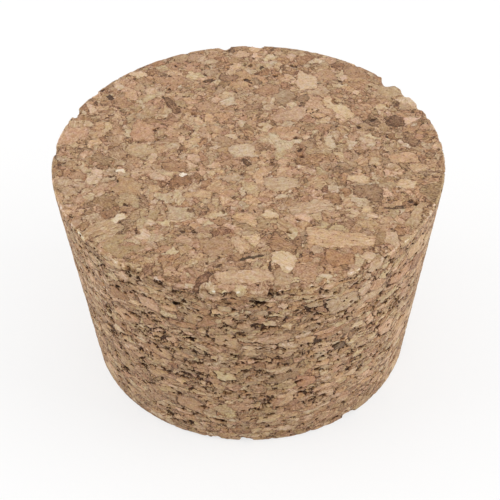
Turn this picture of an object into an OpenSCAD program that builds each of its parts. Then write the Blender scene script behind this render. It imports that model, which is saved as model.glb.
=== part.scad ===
// Tapered stopper of agglomerated cork: granules of cork pressed into a block with a binder,
// then ground to a plain cone. Granules that stood loose at the ground surface have broken
// out, and left bites in both rims and flat, angular pits in the side and in the ends.
// Millimetres, +Z up, origin at the centre of the small end.

/* [Stopper] */
// Diameter of the large end
large_d = 63.5; // [40:0.5:100]
// Diameter of the small end
small_d = 53.5; // [30:0.5:90]
// Height from the small end to the large end
stopper_h = 38.5; // [20:0.5:80]
// Width of the worn corner round the large end
large_edge = 0.3; // [0.1:0.05:1]
// Radius of the rounded lead-in round the small end
small_edge = 0.6; // [0.2:0.1:2]

/* [Granules] */
// Width of a small granule
granule_min = 0.8; // [0.6:0.1:2]
// Width of a large granule
granule_max = 2.2; // [1.8:0.1:6]
// Thickness of a granule as a share of its width, because the pressed granules lie flat
granule_flat = 0.34; // [0.25:0.01:0.8]
// Length of a granule into the cork as a share of its width
granule_long = 0.8; // [0.5:0.05:1]
// Most that a granule leans out of the level, in degrees
granule_lean = 14; // [0:1:30]

/* [Broken rims] */
// Number of small granules lost from the large rim, besides the bites
large_rim_chips = 46; // [0:1:60]
// Number of small granules lost from the small rim, besides the bites
small_rim_chips = 30; // [0:1:50]
// Depth of a small chip, from the side and from the end
chip_depth = 0.45; // [0.2:0.05:1]

/* [Pits] */
// Number of pits in the tapered side
side_pits = 150; // [0:1:200]
// Number of pits in the large end
large_end_pits = 6; // [0:1:30]
// Number of pits in the small end
small_end_pits = 8; // [0:1:30]
// Depth of the shallowest pit
pit_min = 0.4; // [0.2:0.05:0.6]
// Depth of the deepest pit
pit_max = 1.1; // [0.6:0.05:1.6]
// Most of a granule that lay under the surface, as a share, so that each pit is open
pit_share = 0.65; // [0.3:0.05:0.75]
// Width of the band next to each rim that the pits stay out of
pit_margin = 1.8; // [1:0.1:4]

/* [Scatter] */
// Seed of the scatter of chips and pits
seed = 21; // [1:1:99]

/* [Hidden] */

cork = "#b9926c";
golden_angle = 137.508;
cone_fn = 128;
corner_steps = 4;
corner_lean = 12;

large_r = large_d / 2;
small_r = small_d / 2;
taper = atan((large_r - small_r) / stopper_h);

// Larger bites: [angle from +X, width, reach in from the side, reach in from the end]
LARGE_RIM_BITES = [
    [8, 1.6, 0.4, 0.5],
    [19, 1.4, 0.4, 0.6],
    [24, 1.8, 0.7, 0.9],
    [32, 2.2, 0.8, 0.9],
    [40, 3.2, 1.6, 1.6],
    [86, 1.8, 0.8, 0.9],
    [97, 2.2, 1.1, 1.2],
    [145, 1.6, 0.6, 0.8],
    [156, 2.2, 1.2, 1.2],
    [175, 2.4, 0.9, 1.0],
    [236, 2.6, 0.7, 0.9],
    [239, 1.4, 0.9, 1.6],
    [258, 1.8, 0.6, 0.9],
    [265, 1.2, 0.6, 1.1],
    [276, 1.3, 1.0, 2.4],
    [284, 1.3, 0.7, 0.8],
    [307, 2.8, 0.5, 0.7]
];
SMALL_RIM_BITES = [
    [72, 2.0, 0.6, 0.8],
    [148, 1.8, 0.5, 0.7],
    [257, 1.6, 0.5, 0.6],
    [268, 2.4, 0.6, 0.8],
    [307, 2.6, 0.7, 1.0],
    [350, 1.8, 0.5, 0.7]
];

// Radius of the ground side at a height
function side_r(z) = small_r + z * tan(taper);

// A seeded list of numbers from lo to hi; salt keeps one list apart from the next
function scatter(lo, hi, count, salt) = rands(lo, hi, count, 100 * seed + salt);

// A point of the rounded small corner: share 0 is on the end, share 1 on the side
function corner_point(share) =
    let (a = -90 + share * (90 - taper))
    [
        small_r + small_edge * (tan(taper) - 1 / cos(taper) + cos(a)),
        small_edge * (1 + sin(a))
    ];

// The cone as it was ground, with a worn large rim and a rounded small one
module ground_cone() {
    rotate_extrude($fn = cone_fn)
        polygon(concat(
            [[0, 0]],
            [for (i = [0:corner_steps]) corner_point(i / corner_steps)],
            [
                [side_r(stopper_h - large_edge), stopper_h - large_edge],
                [large_r - large_edge, stopper_h],
                [0, stopper_h]
            ]
        ));
}

// One granule centred on the origin: a flat chunk, deep along X and wide along Y. A second
// chunk, turned half across it by `turn` and leaning by `lean`, breaks its corners off.
module granule(deep, wide, thick, turn, lean) {
    across = max(deep, wide);
    intersection() {
        cube([deep, wide, thick], center = true);
        rotate([lean < 0 ? lean - corner_lean : lean + corner_lean, 0, 45 + turn])
            cube([0.95 * across, 0.85 * across, 1.15 * thick], center = true);
    }
}

// Granules broken out along a rim, at the angles and sizes of a list of bites.
// end_z is the height of the end, and down is -1 where the cork lies below that end.
module rim_bites(bites, rim_r, end_z, down) {
    lean = scatter(-granule_lean, granule_lean, 2 * len(bites), 1);
    for (i = [0:len(bites) - 1])
        rotate(bites[i][0])
            translate([rim_r, 0, end_z])
                rotate([lean[2 * i], down * lean[2 * i + 1] / 2, lean[2 * i]])
                    granule(2 * bites[i][2], bites[i][1], 2 * bites[i][3], lean[2 * i + 1], 3 * lean[2 * i]);
}

// Small chips, evenly enough round a rim that no stretch of it is left sharp
function small_chips(count, salt) =
    let (
        at = scatter(-0.45, 0.45, count, salt),
        wide = scatter(granule_min, 0.6 * granule_max, count, salt + 1),
        bite = scatter(0.5, 1.1, 2 * count, salt + 2)
    )
    [
        for (i = [0:1:count - 1])
            [360 * (i + at[i]) / count, wide[i], chip_depth * bite[2 * i], chip_depth * bite[2 * i + 1]]
    ];

// Pits in the tapered side: a golden-angle spiral, shaken so that no row of it shows
module side_pit_granules() {
    low = pit_margin;
    high = stopper_h - pit_margin;
    wide = scatter(granule_min, granule_max, side_pits, 11);
    shake = scatter(-9, 9, side_pits, 12);
    sink = scatter(pit_min, pit_max, side_pits, 13);
    lean = scatter(-granule_lean, granule_lean, 2 * side_pits, 14);
    for (i = [0:1:side_pits - 1]) {
        z = low + (high - low) * (i + 0.5) / side_pits;
        deep = granule_long * wide[i];
        depth = min(sink[i], pit_share * deep);
        rotate(golden_angle * i + shake[i])
            translate([side_r(z) - depth + deep / 2, 0, z])
                rotate([lean[2 * i], lean[2 * i + 1], lean[2 * i]])
                    granule(deep, wide[i], granule_flat * wide[i], lean[2 * i + 1], 2 * lean[2 * i]);
    }
}

// Pits in an end of radius end_r, sunk from the height end_z; up is 1 where the end faces up
module end_pit_granules(count, end_r, end_z, up, salt) {
    wide = scatter(granule_min, 0.6 * granule_max, count, salt);
    shake = scatter(-25, 25, count, salt + 1);
    sink = scatter(pit_min, 0.7 * pit_max, count, salt + 2);
    lean = scatter(-granule_lean, granule_lean, 2 * count, salt + 3);
    narrow = scatter(0.5, 1, count, salt + 4);
    for (i = [0:1:count - 1]) {
        thick = 2 * granule_flat * wide[i];
        depth = min(sink[i], pit_share * thick);
        rotate(golden_angle * i + shake[i])
            translate([(end_r - pit_margin) * sqrt((i + 0.5) / count), 0, end_z + up * (thick / 2 - depth)])
                rotate([lean[2 * i], lean[2 * i + 1], 8 * lean[2 * i]])
                    granule(narrow[i] * granule_long * wide[i], wide[i], thick, lean[2 * i + 1], 2 * lean[2 * i]);
    }
}

// The stopper: the ground cone without the granules that have broken out
module stopper() {
    color(cork)
        difference() {
            ground_cone();
            rim_bites(LARGE_RIM_BITES, large_r, stopper_h, -1);
            rim_bites(SMALL_RIM_BITES, small_r, 0, 1);
            rim_bites(small_chips(large_rim_chips, 21), large_r, stopper_h, -1);
            rim_bites(small_chips(small_rim_chips, 31), small_r, 0, 1);
            side_pit_granules();
            end_pit_granules(large_end_pits, large_r, stopper_h, 1, 41);
            end_pit_granules(small_end_pits, small_r, 0, -1, 51);
        }
}

stopper();
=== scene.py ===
"""A tapered stopper of agglomerated cork on a white studio floor.

Granules of cork were pressed into a block with a binder, and the stopper was ground from it.
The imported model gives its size, and the bites and pits where granules have broken out. This
script makes it again with every granule at its own small height and the gaps between them
open, and gives each granule its own colour and grain. Lengths in a name that ends in _mm, and
all lengths inside a node tree, are millimetres. Everything else is metres.
"""

import collections
import math

import bmesh
import bpy
import numpy as np
from bpy.props import FloatProperty, FloatVectorProperty, IntProperty, PointerProperty
from mathutils import Matrix, Vector


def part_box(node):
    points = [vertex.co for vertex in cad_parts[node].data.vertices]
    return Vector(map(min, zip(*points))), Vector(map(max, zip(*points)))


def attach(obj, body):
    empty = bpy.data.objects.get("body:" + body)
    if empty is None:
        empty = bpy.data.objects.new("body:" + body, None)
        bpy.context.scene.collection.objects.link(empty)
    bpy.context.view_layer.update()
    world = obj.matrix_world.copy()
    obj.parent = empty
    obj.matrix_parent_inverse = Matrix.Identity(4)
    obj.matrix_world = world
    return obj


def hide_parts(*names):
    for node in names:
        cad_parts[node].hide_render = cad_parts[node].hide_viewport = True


bl_info = {
    "name": "Cork stopper",
    "version": (1, 0, 0),
    "blender": (4, 5, 0),
    "location": "View3D > Sidebar > Cork stopper",
    "description": "Makes a tapered stopper of agglomerated cork and its studio",
    "category": "Object",
}

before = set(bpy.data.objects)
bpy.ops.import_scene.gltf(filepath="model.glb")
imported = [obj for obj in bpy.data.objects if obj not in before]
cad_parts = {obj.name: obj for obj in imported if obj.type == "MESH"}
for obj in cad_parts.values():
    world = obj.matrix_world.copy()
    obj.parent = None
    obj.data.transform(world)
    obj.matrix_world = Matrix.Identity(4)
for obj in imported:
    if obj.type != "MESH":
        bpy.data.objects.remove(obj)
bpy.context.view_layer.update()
LOW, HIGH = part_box("stopper")

MM = 0.001
LARGE_RADIUS_MM = 31.75  # as ground, before the rim broke
SMALL_RADIUS_MM = 26.75
HEIGHT_MM = (HIGH.z - LOW.z) / MM

GROUND_PLACE = "ground_place"  # where a point lay on the ground surface, before its relief
BAKE_MAP = "OFBake"
PIECE = "cork_stopper"
HALF = (0.5, 0.5, 0.5)


# ---------------------------------------------------------------------------
# Settings
# ---------------------------------------------------------------------------


def srgb(text):
    """A hexadecimal screen colour as scene-linear red, green and blue."""
    parts = (int(text[i : i + 2], 16) / 255 for i in (0, 2, 4))
    return tuple(c / 12.92 if c <= 0.04045 else ((c + 0.055) / 1.055) ** 2.4 for c in parts)


def length(name, description, default_mm, low_mm, high_mm):
    """A property that holds a length."""
    return FloatProperty(
        name=name,
        description=description,
        default=default_mm * MM,
        min=low_mm * MM,
        max=high_mm * MM,
        precision=5,
        subtype="DISTANCE",
        unit="LENGTH",
    )


def share(name, description, default):
    """A property that holds a share from 0 to 1."""
    return FloatProperty(
        name=name, description=description, default=default, min=0.0, max=1.0, subtype="FACTOR"
    )


def power(name, description, default):
    """A property that holds a lamp's power in watts."""
    return FloatProperty(
        name=name, description=description, default=default, min=0.0, subtype="POWER", unit="POWER"
    )


def colour(name, description, text):
    """A property that holds a colour."""
    return FloatVectorProperty(
        name=name,
        description=description,
        default=srgb(text),
        min=0.0,
        max=1.0,
        size=3,
        subtype="COLOR",
    )


class CorkGranules(bpy.types.PropertyGroup):
    """How large the granules are, how they lie, and how the surface broke between them."""

    chunk_width: length("Chunk width", "Width of the largest granules", 3.7, 2, 8)
    granule_width: length("Granule width", "Width of a common granule", 2.0, 1, 4)
    crumb_width: length("Crumb width", "Width of the crumbs that fill between granules", 0.77, 0.4, 2)
    pressed: FloatProperty(
        name="Pressed flat",
        description="How many times wider than tall the pressed granules are",
        default=1.9,
        min=1.0,
        max=4.0,
    )
    chunks: share("Chunks", "Share of the cork in chunks at the large end", 0.20)
    fewest_chunks: share("Fewest chunks", "Share of the cork in chunks at the small end", 0.12)
    crumbled: share("Crumbled", "Share of the granules that are broken into crumbs", 0.13)
    lost_from_side: share("Lost from the side", "Share of the crumbs that fell out of the side", 0.045)
    lost_from_ends: share("Lost from the ends", "Share of the crumbs that fell out of an end", 0.008)
    side_gap: length("Side gap", "Half the width of the widest gaps in the side", 0.175, 0, 0.5)
    end_gap: length("End gap", "Half the width of the widest gaps in the ends", 0.12, 0, 0.5)
    side_pit: length("Side pit", "Depth of a gap or a lost crumb in the side", 0.30, 0, 1)
    end_pit: length("End pit", "Depth of a gap or a lost crumb in an end", 0.16, 0, 1)
    side_step: length("Side step", "Step between granules in the side", 0.10, 0, 0.5)
    end_step: length("End step", "Step between granules in an end", 0.04, 0, 0.5)
    face_size: length("Face size", "Width of a face before the mesh is thinned", 0.21, 0.15, 1)
    triangles: IntProperty(
        name="Triangles",
        description="Most triangles in the finished stopper",
        default=190_000,
        min=10_000,
        max=199_000,
    )


class CorkColours(bpy.types.PropertyGroup):
    """The cork's colours, from the dark of a deep gap to the palest flake."""

    # The darkest stop, reached mostly in gaps, pits and bites. There it stands partly for dark binder
    # and bark, and partly for painted shade.
    gap: colour("Gap", "Bottom of a deep gap", "4a2f1c")
    bark: colour("Bark", "Shreds of bark", "704e35")
    brown: colour("Brown", "Darkest granules", "936f51")
    light_brown: colour("Light brown", "Dark granules", "a78364")
    tan: colour("Tan", "Common granules", "b69475")
    light_tan: colour("Light tan", "Light granules", "c6a88a")
    pale: colour("Pale", "Palest granules", "d8bfa5")
    chalk: colour("Chalk", "The few flakes that are nearly white", "ece0d4")


class CorkStudio(bpy.types.PropertyGroup):
    """The floor, the lamps and the camera."""

    floor: colour("Floor", "Colour of the floor", "fbfbfb")
    sky: FloatProperty(
        name="Sky", description="Strength of the plain white light all round", default=0.68, min=0.0
    )
    overhead: power("Overhead lamp", "Power of the lamp above", 1.1)
    left: power("Left lamp", "Power of the lamp on the left", 2.95)
    right: power("Right lamp", "Power of the lamp on the right", 4.05)
    tilt: FloatProperty(
        name="Camera tilt",
        description="How far the camera looks down from the level",
        default=math.radians(41.88),
        subtype="ANGLE",
        unit="ROTATION",
    )
    roll: FloatProperty(
        name="Camera roll",
        description="How far the camera leans to one side",
        default=math.radians(-0.949),
        subtype="ANGLE",
        unit="ROTATION",
    )
    reach: length("Camera reach", "From the camera to the place it looks at", 272.3, 150, 900)
    lens: FloatProperty(
        name="Lens",
        description="Focal length of the camera, for a sensor 36 mm wide",
        default=115.52,
        min=20.0,
        subtype="DISTANCE_CAMERA",
        unit="CAMERA",
    )


SETTINGS = {
    "cork_granules": CorkGranules,
    "cork_colours": CorkColours,
    "cork_studio": CorkStudio,
}


# ---------------------------------------------------------------------------
# Node wiring
# ---------------------------------------------------------------------------


class Wires:
    """Adds nodes to one tree, so that a field reads like a line of arithmetic.

    Every method takes sockets or plain numbers, and returns the new node's output socket.
    The same calls build a shader tree and a geometry tree, which is how the colours and the
    relief come to lie on the same granules.
    """

    ROWS = 14

    def __init__(self, tree):
        self.tree = tree
        self.box = None

    def part(self, label):
        """Starts a labelled frame, which the nodes that follow are drawn in."""
        self.box = self.tree.nodes.new("NodeFrame")
        self.box.label = label

    def node(self, kind, **settings):
        """A new node with its settings, next in a column of them."""
        column, row = divmod(len(self.tree.nodes), self.ROWS)
        made = self.tree.nodes.new(kind)
        made.location = (220 * column, -240 * row)
        made.parent = self.box
        for name, value in settings.items():
            setattr(made, name, value)
        return made

    def feed(self, socket, value):
        """Links a socket to an input, or sets the input to a plain value."""
        if isinstance(value, bpy.types.NodeSocket):
            self.tree.links.new(value, socket)
        elif value is not None:
            socket.default_value = value

    def math(self, operation, a, b=None, c=None):
        made = self.node("ShaderNodeMath", operation=operation)
        for socket, value in zip(made.inputs, (a, b, c)):
            self.feed(socket, value)
        return made.outputs[0]

    def sum(self, *terms):
        """All the terms added up. A term is a value, or a value and what multiplies it."""
        total = None
        for term in terms:
            if isinstance(term, tuple):
                term = self.math("MULTIPLY", *term)
            total = term if total is None else self.math("ADD", total, term)
        return total

    def less(self, a, b):
        return self.math("SUBTRACT", a, b)

    def times(self, a, b):
        return self.math("MULTIPLY", a, b)

    def vector(self, operation, a, b=None, scale=None):
        made = self.node("ShaderNodeVectorMath", operation=operation)
        self.feed(made.inputs[0], a)
        self.feed(made.inputs[1], b)
        if scale is not None:
            self.feed(made.inputs["Scale"], scale)
        return made.outputs["Value" if operation in ("LENGTH", "DOT_PRODUCT") else "Vector"]

    def stretch(self, vector, factors):
        return self.vector("MULTIPLY", vector, factors)

    def split(self, vector):
        made = self.node("ShaderNodeSeparateXYZ")
        self.feed(made.inputs[0], vector)
        return made.outputs

    def join(self, x, y, z):
        made = self.node("ShaderNodeCombineXYZ")
        for socket, value in zip(made.inputs, (x, y, z)):
            self.feed(socket, value)
        return made.outputs[0]

    def noise(self, place, scale, detail=2.0, roughness=0.5):
        """Soft noise from 0 to 1, about 0.5."""
        return self.noise_node(place, scale, detail, roughness).outputs[0]

    def shake(self, place, scale, detail, roughness, reach):
        """A random vector that changes smoothly, and is up to half of reach long each way."""
        made = self.noise_node(place, scale, detail, roughness)
        return self.stretch(self.vector("SUBTRACT", made.outputs["Color"], HALF), reach)

    def noise_node(self, place, scale, detail, roughness):
        made = self.node("ShaderNodeTexNoise", noise_dimensions="3D")
        self.feed(made.inputs["Vector"], place)
        self.feed(made.inputs["Scale"], scale)
        self.feed(made.inputs["Detail"], detail)
        self.feed(made.inputs["Roughness"], roughness)
        return made

    def cells(self, place, scale, feature="F1", metric="EUCLIDEAN"):
        made = self.node("ShaderNodeTexVoronoi", voronoi_dimensions="3D", feature=feature)
        if feature != "DISTANCE_TO_EDGE":
            made.distance = metric
        self.feed(made.inputs["Vector"], place)
        self.feed(made.inputs["Scale"], scale)
        return made.outputs

    def round_cells(self, place, scale):
        """Random cells: each one's own colour, its centre and how far its border is."""
        near = self.cells(place, scale)
        border = self.cells(place, scale, "DISTANCE_TO_EDGE")["Distance"]
        return near["Color"], near["Position"], self.math("DIVIDE", border, scale)

    def angular_cells(self, place, scale):
        """The same with straight, angular borders, as cork breaks."""
        near = self.cells(place, scale, metric="MANHATTAN")
        second = self.cells(place, scale, "F2", "MANHATTAN")
        border = self.times(self.less(second["Distance"], near["Distance"]), 0.42 / scale)
        return near["Color"], near["Position"], border

    def chance(self, seed, salt):
        """Three random numbers that are the same wherever seed is the same."""
        made = self.node("ShaderNodeTexWhiteNoise", noise_dimensions="3D")
        self.feed(made.inputs["Vector"], self.vector("ADD", seed, (salt, salt, salt)))
        return self.split(made.outputs["Color"])

    def span(self, value, low, high, to_low=0.0, to_high=1.0, smooth=True):
        """Value moved from the range low to high to another range, and held inside it."""
        made = self.node(
            "ShaderNodeMapRange",
            interpolation_type="SMOOTHSTEP" if smooth else "LINEAR",
            clamp=not smooth,
        )
        for name, item in (
            ("Value", value),
            ("From Min", low),
            ("From Max", high),
            ("To Min", to_low),
            ("To Max", to_high),
        ):
            self.feed(made.inputs[name], item)
        return made.outputs["Result"]

    def mix(self, factor, a, b, kind="Float"):
        """a where factor is 0 and b where it is 1. Kind is Float or Vector."""
        made = self.node("ShaderNodeMix", data_type=kind.upper(), clamp_factor=True)
        inputs = {s.identifier: s for s in made.inputs}
        self.feed(inputs["Factor_Float"], factor)
        self.feed(inputs["A_" + kind], a)
        self.feed(inputs["B_" + kind], b)
        return {s.identifier: s for s in made.outputs}["Result_" + kind]

    def ramp(self, value, stops):
        made = self.node("ShaderNodeValToRGB")
        band = made.color_ramp
        while len(band.elements) < len(stops):
            band.elements.new(1.0)
        for element, (place, tone) in zip(band.elements, stops):
            element.position = place
            element.color = (*tone, 1.0)
        self.feed(made.inputs[0], value)
        return made.outputs[0]


# ---------------------------------------------------------------------------
# The granules, as fields that both the relief and the colours read
# ---------------------------------------------------------------------------

Granule = collections.namedtuple("Granule", "x y long wide turn tone red grain")
SideGranule = collections.namedtuple("SideGranule", "around up long wide turn tone red grain")
# What a place on the cork belongs to: where it is, its granule's random seed, tone, redness,
# strength of grain and place in the grain's own directions, its place from the granule's middle
# and from its border, then how much it is side and not end, how deep it lies under the ground
# side, the large end and the nearest of all three, and whether it is a gap or a lost crumb.
Field = collections.namedtuple(
    "Field", "at own tone red grain grained centre edge side in_side in_top sunk pit"
)

# The granules that stand out on the large end: the place of the middle from the middle of the
# end, the length and the width in mm, the turn of the length in degrees, then the tone, the
# redness and the strength of the grain.
STAND_OUT_ON_TOP = (
    Granule(13.8, -20.2, 10.6, 4.0, -4, 0.75, 0.7, 0.8),
    Granule(-0.9, 1.9, 4.4, 3.7, 8, 0.76, -0.3, 0.2),
    Granule(5.3, -6.6, 5.2, 3.5, 8, 0.72, -0.2, 0.6),
    Granule(9.6, -12.6, 7.2, 3.2, 18, 0.69, 0.0, 0.9),
    Granule(10.2, 20.4, 3.7, 4.6, -12, 0.80, 0.2, 0.3),
    Granule(15.2, 12.9, 7.0, 2.6, -44, 0.84, 0.2, 0.5),
    Granule(24.5, 9.0, 2.8, 3.2, 20, 0.26, 0.1, 0.3),
    Granule(18.8, -9.1, 4.6, 4.0, -10, 0.42, -0.3, 0.2),
    Granule(-17.2, 7.2, 3.9, 4.8, -15, 0.62, 1.0, 0.3),
    Granule(-20.4, -2.9, 1.6, 0.9, -5, 1.22, 0.0, 0.1),
    Granule(-10.4, -4.1, 1.0, 1.1, 40, 1.27, 0.0, 0.1),
    Granule(-20.3, -14.4, 2.6, 1.2, 50, 1.00, 0.0, 0.2),
    Granule(3.3, -14.2, 2.6, 1.5, -20, 0.88, 0.3, 0.1),
    Granule(5.0, -24.6, 4.0, 3.5, -30, 0.90, 0.1, 1.0),
    Granule(-1.5, -20.9, 4.0, 2.4, -58, 0.71, 0.3, 0.2),
    Granule(-0.6, -15.0, 4.1, 2.4, -12, 0.76, 0.6, 1.0),
    Granule(5.0, -21.4, 4.8, 2.9, -28, 0.49, 0.4, 0.9),
    Granule(-5.0, -21.2, 4.8, 4.6, 10, 0.53, 0.1, 0.2),
    Granule(-12.6, 14.4, 5.0, 1.3, -60, 0.34, 0.0, 0.8),
    Granule(-23.1, 16.8, 1.6, 0.8, -50, 0.10, -0.8, 0.1),
    Granule(-17.4, 2.6, 4.4, 3.4, 5, 0.68, -0.3, 0.2),
    Granule(25.0, -0.7, 4.6, 2.9, 10, 0.67, 0.8, 0.3),
    Granule(17.4, -6.0, 3.6, 1.9, -10, 0.80, 0.1, 0.2),
    Granule(-11.9, -1.7, 3.8, 2.7, 5, 0.48, 0.5, 0.3),
    Granule(3.8, 18.4, 3.8, 3.4, 60, 0.50, 0.6, 0.2),
    Granule(18.6, 23.2, 4.0, 3.6, 0, 0.50, 0.3, 0.2),
    Granule(-3.1, 21.8, 3.0, 2.0, -10, 0.44, 0.1, 0.4),
    Granule(2.5, 24.9, 1.2, 0.9, 30, 0.18, -0.5, 0.1),
    Granule(0.3, 20.9, 1.6, 0.7, -50, 0.12, -0.5, 0.1),
    Granule(-6.8, 21.3, 1.8, 0.7, 20, 0.20, -0.5, 0.1),
    Granule(0.4, -24.0, 3.6, 0.6, 22, 0.20, -2.0, 0.1),
    Granule(-0.3, -1.2, 2.0, 0.9, -50, 0.22, -0.3, 0.2),
    Granule(-10.5, -13.5, 4.4, 3.4, 10, 0.68, -0.6, 0.2),
    Granule(-22.8, -16.6, 6.0, 3.0, 35, 0.66, -0.2, 0.9),
    Granule(-21.2, 1.8, 3.6, 3.0, -60, 0.56, 0.0, 1.0),
    Granule(19.4, 3.8, 3.4, 1.8, -35, 0.77, -0.1, 0.2),
    Granule(6.8, 5.8, 3.4, 2.2, 20, 0.68, 0.8, 0.2),
    Granule(-8.0, -9.0, 4.6, 1.8, 8, 0.70, 0.4, 0.4),
    Granule(-0.8, -28.2, 8.6, 3.2, 4, 0.73, 0.2, 0.4),
    Granule(21.8, -20.2, 2.2, 3.4, -10, 0.71, 0.0, 0.3),
    Granule(13.6, -24.6, 4.4, 3.2, -5, 0.50, 0.9, 0.2),
    Granule(-7.3, -29.0, 4.6, 1.2, 62, 0.30, 0.4, 0.5),
    Granule(2.9, -27.0, 4.2, 0.45, 84, 0.16, 0.0, 0.1),
    Granule(-25.5, -18.0, 3.2, 1.1, -58, 0.86, 0.0, 0.3),
    Granule(15.9, 19.1, 2.6, 1.2, 10, 0.78, -0.2, 0.2),
    Granule(13.1, -10.4, 2.4, 2.4, 0, 0.46, 0.5, 0.2),
    Granule(19.8, -19.9, 2.2, 3.4, -15, 0.47, -0.2, 0.2),
    Granule(22.6, -12.9, 3.2, 0.6, 5, 0.30, -0.8, 0.5),
    Granule(26.0, -14.6, 6.4, 2.0, 72, 0.66, -0.3, 0.5),
)

# The same for the side, with the place as the angle round from +X in degrees and the height
# in mm.
STAND_OUT_IN_SIDE = (
    SideGranule(239.8, 32.0, 3.6, 2.8, 0, 0.66, 0.8, 0.3),
    SideGranule(250.1, 29.2, 4.6, 1.5, 5, 0.55, 1.0, 0.3),
    SideGranule(262.8, 26.8, 3.6, 3.2, 0, 0.66, 0.1, 0.2),
    SideGranule(297.2, 32.0, 5.4, 4.0, 15, 0.66, -0.5, 0.4),
    SideGranule(287.8, 33.8, 3.0, 1.7, 10, 0.68, -0.4, 0.2),
    SideGranule(262.8, 34.4, 2.5, 1.3, -5, 0.76, -0.4, 0.2),
    SideGranule(275.0, 31.0, 2.3, 1.4, 0, 0.84, -0.3, 0.2),
    SideGranule(261.9, 17.5, 3.2, 2.4, 5, 0.82, -0.2, 0.2),
    SideGranule(286.3, 25.5, 3.5, 1.8, -5, 0.66, 0.4, 0.3),
    SideGranule(241.0, 20.3, 3.8, 2.4, -10, 0.64, 0.5, 0.4),
    SideGranule(248.6, 8.5, 5.0, 3.4, 0, 0.58, 0.5, 0.3),
    SideGranule(223.0, 11.6, 4.5, 3.0, 0, 0.58, -0.2, 0.3),
    SideGranule(317.7, 18.8, 3.6, 3.4, 0, 0.74, 0.8, 0.3),
    SideGranule(320.0, 30.7, 6.0, 2.6, 0, 0.62, 1.2, 0.3),
    SideGranule(326.6, 34.0, 5.5, 3.6, 0, 0.70, 0.5, 0.3),
    SideGranule(287.3, 14.8, 3.0, 3.0, 0, 0.54, 1.6, 0.2),
    SideGranule(297.6, 21.5, 2.2, 1.6, 20, 0.26, -1.5, 0.3),
)
STAND_OUT = STAND_OUT_ON_TOP + STAND_OUT_IN_SIDE
TAPERS = (0.35, -0.25, 0.10, -0.40)  # how much wider one end of such a granule is, in turn
STANDING_DEPTH_MM = 0.9
OUT_OF_REACH = (900.0, 900.0, 900.0)
HUGE = 1e9

# What each random number of a granule is for. The numbers only have to differ.
CHUNK, CRUMBLED, LOST, LEVEL, TONE, GRAIN, TURN, TINT = 3.0, 5.0, 11.0, 21.0, 31.0, 35.0, 37.0, 41.0
SEED_STRETCH = 137.0


def set_in_face(item):
    """The middle of a granule that stands out, and the directions of its length and width."""
    if isinstance(item, SideGranule):
        radius = SMALL_RADIUS_MM + (LARGE_RADIUS_MM - SMALL_RADIUS_MM) * item.up / HEIGHT_MM
        around = Matrix.Rotation(math.radians(item.around), 3, "Z")
        middle = around @ Vector((radius, 0.0, item.up))
        quarter = math.pi / 2
        face = around @ Matrix.Rotation(quarter, 3, "Z") @ Matrix.Rotation(quarter, 3, "X")
    else:
        middle = Vector((item.x, item.y, HEIGHT_MM))
        face = Matrix.Identity(3)
    turned = face @ Matrix.Rotation(math.radians(item.turn), 3, "Z")
    return middle, turned.col[0], turned.col[1]


def standing_granule(kind):
    """A node group that lays one granule that stands out over the granules that are there.

    A place that it takes is moved out of reach, so that no later granule takes it too.
    """
    tree = bpy.data.node_groups.new("Granule that stands out", kind)
    carried = {"Place": "Vector", "Edge": "Float", "Look": "Vector", "Grain": "Vector"}
    own = {"Depth": "Float", "Middle": "Vector", "Length way": "Vector", "Width way": "Vector"}
    own.update({"Long": "Float", "Wide": "Float", "Taper": "Float", "Own look": "Vector"})
    for name, shape in {**carried, **own}.items():
        tree.interface.new_socket(name=name, in_out="INPUT", socket_type="NodeSocket" + shape)
    for name, shape in carried.items():
        tree.interface.new_socket(name=name, in_out="OUTPUT", socket_type="NodeSocket" + shape)
    w = Wires(tree)
    given = w.node("NodeGroupInput").outputs
    from_middle = w.vector("SUBTRACT", given["Place"], given["Middle"])
    along = w.vector("DOT_PRODUCT", from_middle, given["Length way"])
    across = w.vector("DOT_PRODUCT", from_middle, given["Width way"])
    lengths = w.math("DIVIDE", along, given["Long"])
    widths = w.math("DIVIDE", across, given["Wide"])
    # How far out a place lies, by each pair of borders. The granule's own border is at 1.
    ends = w.math("ABSOLUTE", w.times(lengths, 2.0))
    sides = w.math("MULTIPLY_ADD", lengths, given["Taper"], 2.1)
    sides = w.math("ABSOLUTE", w.times(widths, sides))
    corners = w.math("ABSOLUTE", w.times(w.sum(lengths, widths), 1.4))
    far = w.math("MAXIMUM", w.math("MAXIMUM", ends, sides), corners)
    far = w.math("MAXIMUM", far, given["Depth"])
    rim = w.times(w.less(1.0, far), w.times(given["Wide"], 0.375))  # in mm, more than 0 inside
    inside = w.math("GREATER_THAN", rim, 0.0)
    edge = w.math("MINIMUM", given["Edge"], w.times(rim, -1.0))
    made = {
        "Place": w.mix(inside, given["Place"], OUT_OF_REACH, "Vector"),
        "Edge": w.math("MAXIMUM", edge, rim),
        "Look": w.mix(inside, given["Look"], given["Own look"], "Vector"),
        "Grain": w.mix(inside, given["Grain"], w.join(along, across, 0.0), "Vector"),
    }
    goes_out = w.node("NodeGroupOutput")
    for name, value in made.items():
        w.feed(goes_out.inputs[name], value)
    return tree


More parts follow.
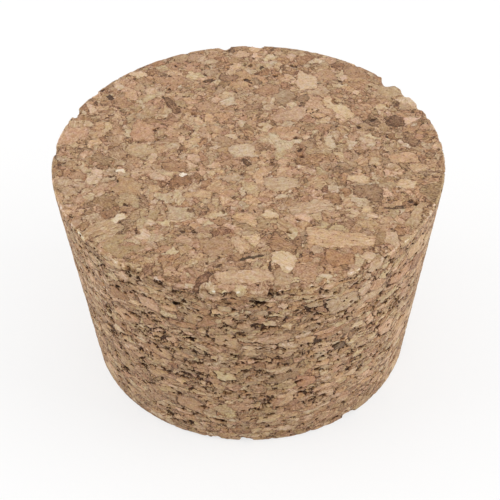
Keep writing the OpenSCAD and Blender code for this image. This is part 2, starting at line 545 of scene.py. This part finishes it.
def granule_fields(w, place, sizes):
    """The granules at a place in metres, as a Field whose lengths are millimetres."""
    at = w.vector("SCALE", place, scale=1 / MM)
    x, y, height = w.split(at)

    w.part("How far below the ground surface")
    wall = w.sum(SMALL_RADIUS_MM, (height, (LARGE_RADIUS_MM - SMALL_RADIUS_MM) / HEIGHT_MM))
    in_side = w.less(wall, w.vector("LENGTH", w.join(x, y, 0.0)))
    in_top = w.less(HEIGHT_MM, height)
    in_ends = w.math("MINIMUM", height, in_top)
    sunk = w.math("MINIMUM", in_side, in_ends)
    side = w.span(w.less(in_ends, in_side), -0.1, 0.3)

    w.part("Granules and crumbs")
    sway = w.shake(at, 0.13, 1.0, 0.5, (4.0, 4.0, 3.4))
    rough = w.shake(at, 0.9, 3.0, 0.6, (0.8, 0.8, 0.4))
    bent = w.vector("ADD", w.vector("ADD", at, sway), rough)
    flat = w.stretch(bent, (1.0, 1.0, sizes.pressed))
    granule, granule_at, granule_edge = w.angular_cells(flat, MM / sizes.granule_width)
    chunk, chunk_at, chunk_edge = w.angular_cells(flat, MM / sizes.chunk_width)
    crumb, crumb_at, crumb_edge = w.round_cells(flat, MM / sizes.crumb_width)
    chunks = w.span(height, 20.0, 32.0, 1.0 - sizes.fewest_chunks, 1.0 - sizes.chunks)
    is_chunk = w.math("GREATER_THAN", w.chance(chunk, CHUNK)[0], chunks)
    granule = w.mix(is_chunk, granule, chunk, "Vector")
    granule_at = w.mix(is_chunk, granule_at, chunk_at, "Vector")
    granule_edge = w.mix(is_chunk, granule_edge, chunk_edge)

    w.part("Where crumbs show")
    filler = w.math("MULTIPLY_ADD", w.noise(at, 0.42, 2.0, 0.55), 2.53, -1.33)
    filler = w.math("MINIMUM", filler, 0.34)
    crumbled = w.math("LESS_THAN", w.chance(granule, CRUMBLED)[0], sizes.crumbled)
    filler = w.math("MAXIMUM", w.sum(filler, (crumbled, 3.0)), 0.0)
    room = w.less(granule_edge, filler)
    is_crumb = w.math("LESS_THAN", room, 0.0)
    own = w.mix(is_crumb, granule, crumb, "Vector")
    centre = w.vector("SUBTRACT", flat, w.mix(is_crumb, granule_at, crumb_at, "Vector"))
    edge = w.mix(is_crumb, room, crumb_edge)

    w.part("Tone, redness and grain of each")
    luck = w.chance(own, TONE)
    swing = w.less(w.sum(luck[0], luck[1]), 1.0)
    tone = w.sum(w.mix(is_crumb, 0.62, 0.59), (swing, w.mix(is_crumb, 0.27, 0.24)))
    red = w.math("MULTIPLY_ADD", luck[2], 1.65, -0.65)
    look = w.join(tone, red, w.chance(own, GRAIN)[0])
    grained = w.node("ShaderNodeVectorRotate", rotation_type="EULER_XYZ")
    w.feed(grained.inputs["Vector"], at)
    turn = w.vector("SCALE", w.join(*w.chance(own, TURN)), scale=6.283)
    w.feed(grained.inputs["Rotation"], turn)
    grained = grained.outputs[0]

    w.part("Granules that stand out")
    top_depth = w.math("DIVIDE", in_top, STANDING_DEPTH_MM)
    side_depth = w.math("DIVIDE", in_side, STANDING_DEPTH_MM)
    laid = w.vector("ADD", at, w.shake(at, 0.5, 3.0, 0.65, (1.9, 1.9, 0.4)))
    # This is never true, and so it changes nothing. Without it Cycles drew a longer chain of
    # the granules that follow all black. The likely reason, which was not measured, is that it
    # keeps only so many values at once, and that this has it work out all of the above first.
    never = w.math("GREATER_THAN", w.sum(w.vector("DOT_PRODUCT", look, grained), edge), HUGE)
    laid = w.mix(never, laid, OUT_OF_REACH, "Vector")
    group = standing_granule(w.tree.bl_idname)
    carried = {"Place": laid, "Edge": edge, "Look": look, "Grain": grained}
    for number, item in enumerate(STAND_OUT):
        middle, length_way, width_way = set_in_face(item)
        made = w.node(w.tree.bl_idname.replace("Tree", "Group"), node_tree=group)
        own_values = {
            "Depth": side_depth if isinstance(item, SideGranule) else top_depth,
            "Middle": middle,
            "Length way": length_way,
            "Width way": width_way,
            "Long": item.long,
            "Wide": item.wide,
            "Taper": 4 * TAPERS[number % len(TAPERS)],
            "Own look": (item.tone, item.red, item.grain),
        }
        for name, value in {**carried, **own_values}.items():
            w.feed(made.inputs[name], value)
        carried = {name: made.outputs[name] for name in carried}
    laid, edge, look, grained = carried.values()
    stands_out = w.math("GREATER_THAN", w.split(laid)[0], OUT_OF_REACH[0] / 2)
    own_seed = w.vector("SCALE", look, scale=SEED_STRETCH)
    own = w.mix(stands_out, own, own_seed, "Vector")

    w.part("Gaps and lost crumbs")
    loose = w.noise(w.stretch(at, (1.0, 1.0, 1.3)), 0.55, 3.0, 0.62)
    loose = w.sum(loose, (w.less(w.noise(at, 0.17, 1.0), 0.5), 0.30))
    loose = w.sum(loose, w.span(height, 5.0, 17.0, -0.05, 0.0))  # tighter towards the small end
    gap_wide = w.mix(
        side,
        w.span(loose, 0.58, 0.76, -0.13, sizes.end_gap / MM),
        w.span(loose, 0.44, 0.68, -0.11, sizes.side_gap / MM),
    )
    gap = w.span(w.less(edge, gap_wide), -0.035, 0.035, 1.0, 0.0)
    kept = w.mix(side, 1.0 - sizes.lost_from_ends, 1.0 - sizes.lost_from_side)
    lost = w.math("GREATER_THAN", w.chance(crumb, LOST)[0], kept)
    lost = w.times(lost, w.span(crumb_edge, 0.01, 0.10))
    pit = w.math("MAXIMUM", gap, lost)

    tone, red, grain = w.split(look)
    return Field(
        at, own, tone, red, grain, grained, centre, edge, side, in_side, in_top, sunk, pit
    )


# ---------------------------------------------------------------------------
# Relief
# ---------------------------------------------------------------------------


def relief_tree(sizes):
    """Geometry nodes that sink the gaps and the borders, and set each granule at its height."""
    tree = bpy.data.node_groups.new("Cork relief", "GeometryNodeTree")
    tree.interface.new_socket(name="Geometry", in_out="INPUT", socket_type="NodeSocketGeometry")
    tree.interface.new_socket(name="Geometry", in_out="OUTPUT", socket_type="NodeSocketGeometry")
    w = Wires(tree)
    came_in, goes_out = w.node("NodeGroupInput"), w.node("NodeGroupOutput")
    place = w.node("GeometryNodeInputPosition").outputs[0]
    normal = w.node("GeometryNodeInputNormal").outputs[0]
    cork = granule_fields(w, place, sizes)

    w.part("Relief")
    corner = w.math("MAXIMUM", cork.in_side, cork.in_top)
    level = w.times(w.less(w.chance(cork.own, LEVEL)[0], 0.6), w.span(corner, 0.2, 1.2, 0.35, 1.0))
    move = w.sum(
        (level, w.mix(cork.side, sizes.end_step / MM, sizes.side_step / MM)),
        w.span(cork.edge, 0.0, 0.25, -0.04, 0.0),
        (cork.pit, w.mix(cork.side, -sizes.end_pit / MM, -sizes.side_pit / MM)),
        (w.less(w.noise(cork.at, 2.2), 0.5), 0.06),
    )
    keep = w.node("GeometryNodeStoreNamedAttribute", data_type="FLOAT_VECTOR", domain="POINT")
    keep.inputs["Name"].default_value = GROUND_PLACE
    w.feed(keep.inputs["Geometry"], came_in.outputs[0])
    w.feed(keep.inputs["Value"], place)
    shift = w.node("GeometryNodeSetPosition")
    w.feed(shift.inputs["Geometry"], keep.outputs["Geometry"])
    w.feed(shift.inputs["Offset"], w.vector("SCALE", normal, scale=w.times(move, MM)))
    w.feed(goes_out.inputs[0], shift.outputs[0])
    return tree


# ---------------------------------------------------------------------------
# The stopper's mesh
# ---------------------------------------------------------------------------

MOST_TRIANGLES = 200_000
JOIN_MM = 0.001  # points nearer than this are one
SHARP_CORNER = math.radians(50)


def new_object(name, mesh):
    """A mesh object in the scene, at the origin."""
    made = bpy.data.objects.new(name, mesh)
    bpy.context.scene.collection.objects.link(made)
    return made


def apply_modifiers(piece):
    """Gives the piece its modifiers' result as its mesh, and takes the modifiers off."""
    graph = bpy.context.evaluated_depsgraph_get()
    done = bpy.data.meshes.new_from_object(
        piece.evaluated_get(graph), preserve_all_data_layers=True, depsgraph=graph
    )
    piece.modifiers.clear()
    before, piece.data = piece.data, done
    bpy.data.meshes.remove(before)
    done.name = piece.name


def merged_copy(source, name):
    """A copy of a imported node's mesh, with its loose triangles joined up."""
    mesh = bpy.data.meshes.new(name)
    bm = bmesh.new()
    bm.from_mesh(source.data)
    bmesh.ops.remove_doubles(bm, verts=bm.verts, dist=JOIN_MM * MM)
    bm.to_mesh(mesh)
    bm.free()
    return mesh


def keep_largest_shell(mesh):
    """Leaves one closed shell of triangles. Thinning cuts a few scraps loose or folds them flat."""
    bm = bmesh.new()
    bm.from_mesh(mesh)
    bmesh.ops.triangulate(bm, faces=bm.faces)
    unseen = set(bm.faces)
    shells = []
    while unseen:
        shell = [unseen.pop()]
        for face in shell:  # the list grows as it is walked
            for edge in face.edges:
                if len(edge.link_faces) == 2:
                    beside = [other for other in edge.link_faces if other in unseen]
                    shell.extend(beside)
                    unseen.difference_update(beside)
        shells.append(shell)
    shells.sort(key=len)
    scraps = [face for shell in shells[:-1] for face in shell]
    bmesh.ops.delete(bm, geom=scraps, context="FACES")
    bm.to_mesh(mesh)
    bm.free()


def triangle_count(mesh):
    return sum(len(face.vertices) - 2 for face in mesh.polygons)


def shaped_stopper(sizes):
    """The stopper with the relief of its granules."""
    piece = new_object(PIECE, merged_copy(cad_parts["stopper"], PIECE))
    even = piece.modifiers.new("Even faces", "REMESH")
    even.mode = "VOXEL"
    even.voxel_size = sizes.face_size
    relief = piece.modifiers.new("Relief", "NODES")
    relief.node_group = relief_tree(sizes)
    apply_modifiers(piece)
    thin = piece.modifiers.new("Thin", "DECIMATE")
    thin.ratio = min(1.0, sizes.triangles / triangle_count(piece.data))
    apply_modifiers(piece)
    keep_largest_shell(piece.data)
    piece.data.polygons.foreach_set("use_smooth", [True] * len(piece.data.polygons))
    piece.data.set_sharp_from_angle(angle=SHARP_CORNER)
    return piece


# The bake map, in mm: the side unrolled in three strips, one above another, and the two ends
# beside them.
STRIPS = 3
MAP_GAP_MM = 1.5
SLANT_MM = math.hypot(HEIGHT_MM, LARGE_RADIUS_MM - SMALL_RADIUS_MM)
STRIP_LONG_MM = math.tau * LARGE_RADIUS_MM / STRIPS
ENDS_X_MM = STRIP_LONG_MM + 2 * MAP_GAP_MM
SIDE_HIGH_MM = STRIPS * (SLANT_MM + MAP_GAP_MM)
ENDS_HIGH_MM = 2 * (LARGE_RADIUS_MM + SMALL_RADIUS_MM + MAP_GAP_MM)
MAP_MM = (
    ENDS_X_MM + 2 * LARGE_RADIUS_MM + MAP_GAP_MM,
    max(SIDE_HIGH_MM, ENDS_HIGH_MM) + MAP_GAP_MM,
)


def lay_out_bake_map(mesh):
    """Adds the map that the cork is baked on."""
    totals = np.empty(len(mesh.polygons), np.int32)
    mesh.polygons.foreach_get("loop_total", totals)
    starts = np.concatenate(([0], np.cumsum(totals)[:-1]))
    vertex = np.empty(len(mesh.loops), np.int32)
    mesh.loops.foreach_get("vertex_index", vertex)
    place = np.empty(3 * len(mesh.vertices), np.float32)
    mesh.attributes[GROUND_PLACE].data.foreach_get("vector", place)
    corner = place.reshape(-1, 3)[vertex] / MM
    middle = np.add.reduceat(corner, starts) / totals[:, None]

    radius = np.hypot(middle[:, 0], middle[:, 1])
    grown = (LARGE_RADIUS_MM - SMALL_RADIUS_MM) / HEIGHT_MM
    in_side = SMALL_RADIUS_MM + grown * middle[:, 2] - radius
    in_ends = np.minimum(middle[:, 2], HEIGHT_MM - middle[:, 2])
    on_side = np.repeat(in_side < in_ends, totals)
    on_top = np.repeat(middle[:, 2] > HEIGHT_MM / 2, totals)

    angle = np.repeat(np.arctan2(middle[:, 1], middle[:, 0]) % math.tau, totals)
    strip = np.floor(angle * STRIPS / math.tau).clip(0, STRIPS - 1)
    own = np.arctan2(corner[:, 1], corner[:, 0])
    angle += (own - angle + math.pi) % math.tau - math.pi
    x = MAP_GAP_MM + angle * LARGE_RADIUS_MM - strip * STRIP_LONG_MM
    y = MAP_GAP_MM + strip * (SLANT_MM + MAP_GAP_MM) + corner[:, 2] * SLANT_MM / HEIGHT_MM
    flat_x = ENDS_X_MM + np.where(on_top, LARGE_RADIUS_MM, SMALL_RADIUS_MM) + corner[:, 0]
    small_y = 2 * (MAP_GAP_MM + LARGE_RADIUS_MM) + SMALL_RADIUS_MM
    flat_y = np.where(on_top, MAP_GAP_MM + LARGE_RADIUS_MM, small_y) + corner[:, 1]
    x = np.where(on_side, x, flat_x) / MAP_MM[0]
    y = np.where(on_side, y, flat_y) / MAP_MM[1]
    layer = mesh.uv_layers.new(name=BAKE_MAP, do_init=False)
    layer.uv.foreach_set("vector", np.stack([x, y], 1).astype(np.float32).ravel())


# ---------------------------------------------------------------------------
# Cork
# ---------------------------------------------------------------------------


REDDER = (0.090, -0.055, -0.068)  # what a step of redness does to red, green and blue
END_TINT = (0.99, 1.0, 0.955)
SIDE_TINT = (0.985, 1.0, 0.915)


def cork_material(sizes, colours):
    """Cork: each granule has its own tone, tint and grain, and the gaps are dark, partly with painted
    shade.
    """
    made = bpy.data.materials.new("cork")
    made.use_nodes = True
    tree = made.node_tree
    tree.nodes.clear()
    w = Wires(tree)
    place = w.node("ShaderNodeAttribute", attribute_type="GEOMETRY", attribute_name=GROUND_PLACE)
    cork = granule_fields(w, place.outputs["Vector"], sizes)
    own_luck = w.chance(cork.own, TINT)

    w.part("Patterns")
    streaks = w.noise(w.stretch(cork.grained, (0.30, 3.2, 3.2)), 1.0, 3.0, 0.65)
    cloud = w.noise(cork.at, 1.1, 4.0, 0.75)
    fleck = w.noise(w.stretch(cork.at, (1.0, 1.0, 1.4)), 3.4, 3.0, 0.75)
    # Painted shade: each granule is lighter to one side and darker to the other, as if its face were
    # tilted to the light.
    lean = w.vector("SUBTRACT", w.join(own_luck[1], own_luck[2], own_luck[0]), HALF)
    tilt_shade = w.vector("DOT_PRODUCT", cork.centre, lean)
    near_edge = w.span(cork.edge, 0.0, 0.35, 1.0, 0.0)

    w.part("Tone")
    plain = w.span(cork.grain, 0.2, 1.0, 0.86, 0.62)
    tone = w.sum(
        w.mix(cork.side, 0.515, 0.496),
        (w.less(cork.tone, 0.6), w.mix(cork.side, 1.03, 0.96)),
        (w.less(streaks, 0.5), w.times(cork.grain, 1.35)),
        (w.less(cloud, 0.5), w.span(cork.grain, 0.2, 1.0, 0.66, 0.42)),
        (w.less(fleck, 0.5), w.mix(cork.side, plain, 1.0)),
        (tilt_shade, 0.05),
        # Darker near each granule's border: partly darker cork, partly painted shade in the groove
        # between granules.
        (near_edge, -0.055),
    )
    tone = w.math("MINIMUM", tone, w.math("MULTIPLY_ADD", tone, 0.5, 0.365))  # few are very pale

    w.part("Growth rings across some granules")
    rings = w.noise(w.stretch(cork.grained, (0.25, 1.7, 1.7)), 1.0)
    ring = w.span(w.math("ABSOLUTE", w.less(rings, 0.5)), 0.0, 0.022, 1.0, 0.0)
    ring = w.times(ring, w.span(cork.grain, 0.45, 0.85))

    w.part("Lines of binder and specks of bark")
    open_noise = w.noise(cork.at, 1.1, 2.0, 0.6)
    line_wide = w.span(open_noise, w.mix(cork.side, 0.42, 0.37), 0.66, 0.0, 0.17)
    line = w.span(cork.edge, 0.0, line_wide, 1.0, 0.0)
    speck = w.noise(w.stretch(cork.at, (1.0, 1.0, 1.6)), 2.1, 3.0, 0.65)
    speck = w.span(w.sum(speck, (near_edge, 0.05)), 0.63, 0.68)

    # Paler strip along the corner of the large end: partly fresh, paler cork where it is worn, partly
    # a painted highlight where the corner catches the light.
    w.part("Worn corner of the large end, with painted highlight")
    corner = w.math("MAXIMUM", cork.in_side, cork.in_top)
    worn_and_highlight = w.times(w.span(corner, 0.25, 0.45, 1.0, 0.0), w.span(open_noise, 0.30, 0.50))

    w.part("Colour")
    tone = w.sum(
        tone,
        (ring, -0.16),
        (line, w.mix(cork.side, -0.28, -0.34)),
        (speck, -0.36),
        # Gaps and lost crumbs darker: partly dark binder and bark, partly painted shade in the pits.
        (cork.pit, w.mix(cork.side, -0.40, -0.50)),
        # Darker the deeper a place lies in a bite or pit, and more so away from the rim: partly dark
        # cork, partly painted shade.
        (w.span(cork.sunk, 0.10, 0.6), w.span(corner, 1.0, 2.6, -0.24, -0.50)),
        # Painted highlight and paler worn cork along the rim.
        (worn_and_highlight, 0.20),
    )
    stops = (
        (0.00, colours.gap),
        (0.15, colours.bark),
        (0.30, colours.brown),
        (0.42, colours.light_brown),
        (0.55, colours.tan),
        (0.70, colours.light_tan),
        (0.85, colours.pale),
        (1.00, colours.chalk),
    )
    red = w.sum((w.less(w.noise(cork.at, 0.9, 3.0, 0.6), 0.5), 2.15), (cork.red, 0.65))
    patches = w.less(w.noise(cork.at, 1.3, 3.0, 0.65), 0.5)
    blue = w.sum((w.less(own_luck[0], 0.5), 0.15), (patches, 0.82))
    tint = w.vector("ADD", (1.0, 1.0, 1.0), w.stretch(w.join(red, red, red), REDDER))
    tint = w.vector("ADD", tint, w.join(0.0, 0.0, blue))
    tint = w.stretch(tint, w.mix(cork.side, END_TINT, SIDE_TINT, "Vector"))

    w.part("Surface")
    bump = w.node("ShaderNodeBump")
    bump.inputs["Distance"].default_value = MM
    bump.inputs["Strength"].default_value = 0.6
    height = w.sum((streaks, 0.05), (fleck, 0.12), (line, -0.05), (cork.pit, -0.12))
    w.feed(bump.inputs["Height"], height)
    shader = w.node("ShaderNodeBsdfPrincipled")
    w.feed(shader.inputs["Base Color"], w.stretch(w.ramp(tone, stops), tint))
    w.feed(shader.inputs["Roughness"], w.span(fleck, 0.3, 0.7, 0.80, 0.90))
    w.feed(shader.inputs["Normal"], bump.outputs[0])
    shader.inputs["Specular IOR Level"].default_value = 0.25
    shader.inputs["Sheen Weight"].default_value = 0.14  # dust and torn cell walls
    out = w.node("ShaderNodeOutputMaterial")
    w.feed(out.inputs["Surface"], shader.outputs[0])
    return made


# ---------------------------------------------------------------------------
# Studio
# ---------------------------------------------------------------------------


FLOOR_REACH = 3.0  # from the stopper to the floor's nearest border, in metres
LIGHT_FACES = Vector((0.0, 0.0, 0.02))
# Each lamp's place and width in metres. The studio's settings hold their powers.
LAMPS = {
    "overhead": ((0.0, 0.25, 0.9), 0.9),
    "left": ((-0.8, 0.0, 0.4), 0.7),
    "right": ((0.8, -0.1, 0.4), 0.7),
}
SENSOR_WIDE_MM = 36
# The camera looks at a place this far right of and below the middle of the large end.
AIM_RIGHT_MM = 0.04
AIM_DOWN_MM = 20.06


def seen_directly(w):
    """1 for what the camera sees itself, in a mirror or through glass, and 0 for plain light."""
    path = w.node("ShaderNodeLightPath").outputs
    seen = w.sum(path["Is Camera Ray"], path["Is Glossy Ray"], path["Is Transmission Ray"])
    return w.math("MINIMUM", seen, 1.0)


def floor_material(white):
    """White floor that shows nearly its plain colour, and a soft shadow under the object."""
    made = bpy.data.materials.new("white_floor")
    made.use_nodes = True
    w = Wires(made.node_tree)
    shader = made.node_tree.nodes["Principled BSDF"]
    shader.inputs["Base Color"].default_value = (*white, 1.0)
    shader.inputs["Roughness"].default_value = 0.9
    shader.inputs["Specular IOR Level"].default_value = 0.1
    away = w.vector("LENGTH", w.node("ShaderNodeNewGeometry").outputs["Position"])
    plain = w.node("ShaderNodeEmission")
    blend = w.node("ShaderNodeMixShader")
    w.feed(blend.inputs[0], w.times(seen_directly(w), w.span(away, 0.08, 0.50, 0.7, 1.0)))
    w.feed(blend.inputs[1], shader.outputs[0])
    w.feed(blend.inputs[2], plain.outputs[0])
    w.feed(made.node_tree.nodes["Material Output"].inputs["Surface"], blend.outputs[0])
    return made


def add_floor(studio):
    mesh = bpy.data.meshes.new("floor")
    bm = bmesh.new()
    bmesh.ops.create_grid(bm, x_segments=1, y_segments=1, size=FLOOR_REACH)
    bm.to_mesh(mesh)
    bm.free()
    mesh.materials.append(floor_material(studio.floor))
    new_object("floor", mesh)


def add_sky(studio):
    world = bpy.data.worlds.new("studio")
    world.use_nodes = True
    background = world.node_tree.nodes["Background"]
    background.inputs["Color"].default_value = (1.0, 1.0, 1.0, 1.0)
    w = Wires(world.node_tree)
    w.feed(background.inputs["Strength"], w.mix(seen_directly(w), studio.sky, 1.0))
    bpy.context.scene.world = world


def add_lamp(name, place, size, watts):
    """A square soft lamp that faces the stopper."""
    data = bpy.data.lights.new(name, "AREA")
    data.shape = "SQUARE"
    data.size = size
    data.energy = watts
    lamp = new_object(name, data)
    lamp.location = place
    towards = LIGHT_FACES - Vector(place)
    lamp.rotation_euler = towards.to_track_quat("-Z", "Y").to_euler()


def add_camera(studio):
    data = bpy.data.cameras.new("camera")
    data.sensor_width = SENSOR_WIDE_MM
    data.lens = studio.lens
    camera = new_object("camera", data)
    aim = Vector((AIM_RIGHT_MM * MM, 0.0, HIGH.z - AIM_DOWN_MM * MM))
    back = Vector((0.0, -math.cos(studio.tilt), math.sin(studio.tilt)))
    camera.matrix_world = (
        Matrix.Translation(aim + back * studio.reach)
        @ Matrix.Rotation(math.pi / 2 - studio.tilt, 4, "X")
        @ Matrix.Rotation(studio.roll, 4, "Z")
    )
    bpy.context.scene.camera = camera


# ---------------------------------------------------------------------------
# Operators and panel
# ---------------------------------------------------------------------------


class OBJECT_OT_cork_stopper(bpy.types.Operator):
    """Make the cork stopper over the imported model"""

    bl_idname = "object.cork_stopper"
    bl_label = "Make the cork stopper"
    bl_options = {"REGISTER", "UNDO"}

    def execute(self, context):
        sizes = context.scene.cork_granules
        piece = shaped_stopper(sizes)
        count = triangle_count(piece.data)
        if not 0 < count < MOST_TRIANGLES:
            raise RuntimeError(f"the cork stopper has {count} triangles")
        lay_out_bake_map(piece.data)
        piece.data.materials.clear()
        piece.data.materials.append(cork_material(sizes, context.scene.cork_colours))
        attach(piece, "root")
        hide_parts("stopper")
        return {"FINISHED"}


class SCENE_OT_cork_studio(bpy.types.Operator):
    """Make the white floor, the soft lamps and the camera"""

    bl_idname = "scene.cork_studio"
    bl_label = "Make the studio"
    bl_options = {"REGISTER", "UNDO"}

    def execute(self, context):
        studio = context.scene.cork_studio
        add_camera(studio)
        add_floor(studio)
        add_sky(studio)
        for name, (place, size) in LAMPS.items():
            add_lamp(name, place, size, getattr(studio, name))
        context.scene.view_settings.view_transform = "Standard"
        return {"FINISHED"}


OPERATORS = (OBJECT_OT_cork_stopper, SCENE_OT_cork_studio)


class VIEW3D_PT_cork_stopper(bpy.types.Panel):
    """The settings and the makers of the stopper and its studio"""

    bl_idname = "VIEW3D_PT_cork_stopper"
    bl_label = "Cork stopper"
    bl_space_type = "VIEW_3D"
    bl_region_type = "UI"
    bl_category = "Cork stopper"

    def draw(self, context):
        for attribute, kind in SETTINGS.items():
            box = self.layout.box()
            for name in kind.__annotations__:
                box.prop(getattr(context.scene, attribute), name)
        for operator in OPERATORS:
            self.layout.operator(operator.bl_idname)


CLASSES = (*SETTINGS.values(), *OPERATORS, VIEW3D_PT_cork_stopper)


def register():
    for item in CLASSES:
        bpy.utils.register_class(item)
    for attribute, kind in SETTINGS.items():
        setattr(bpy.types.Scene, attribute, PointerProperty(type=kind))


def unregister():
    for attribute in SETTINGS:
        delattr(bpy.types.Scene, attribute)
    for item in reversed(CLASSES):
        bpy.utils.unregister_class(item)


def main():
    register()
    bpy.ops.object.cork_stopper()
    bpy.ops.scene.cork_studio()


if __name__ == "__main__":
    main()
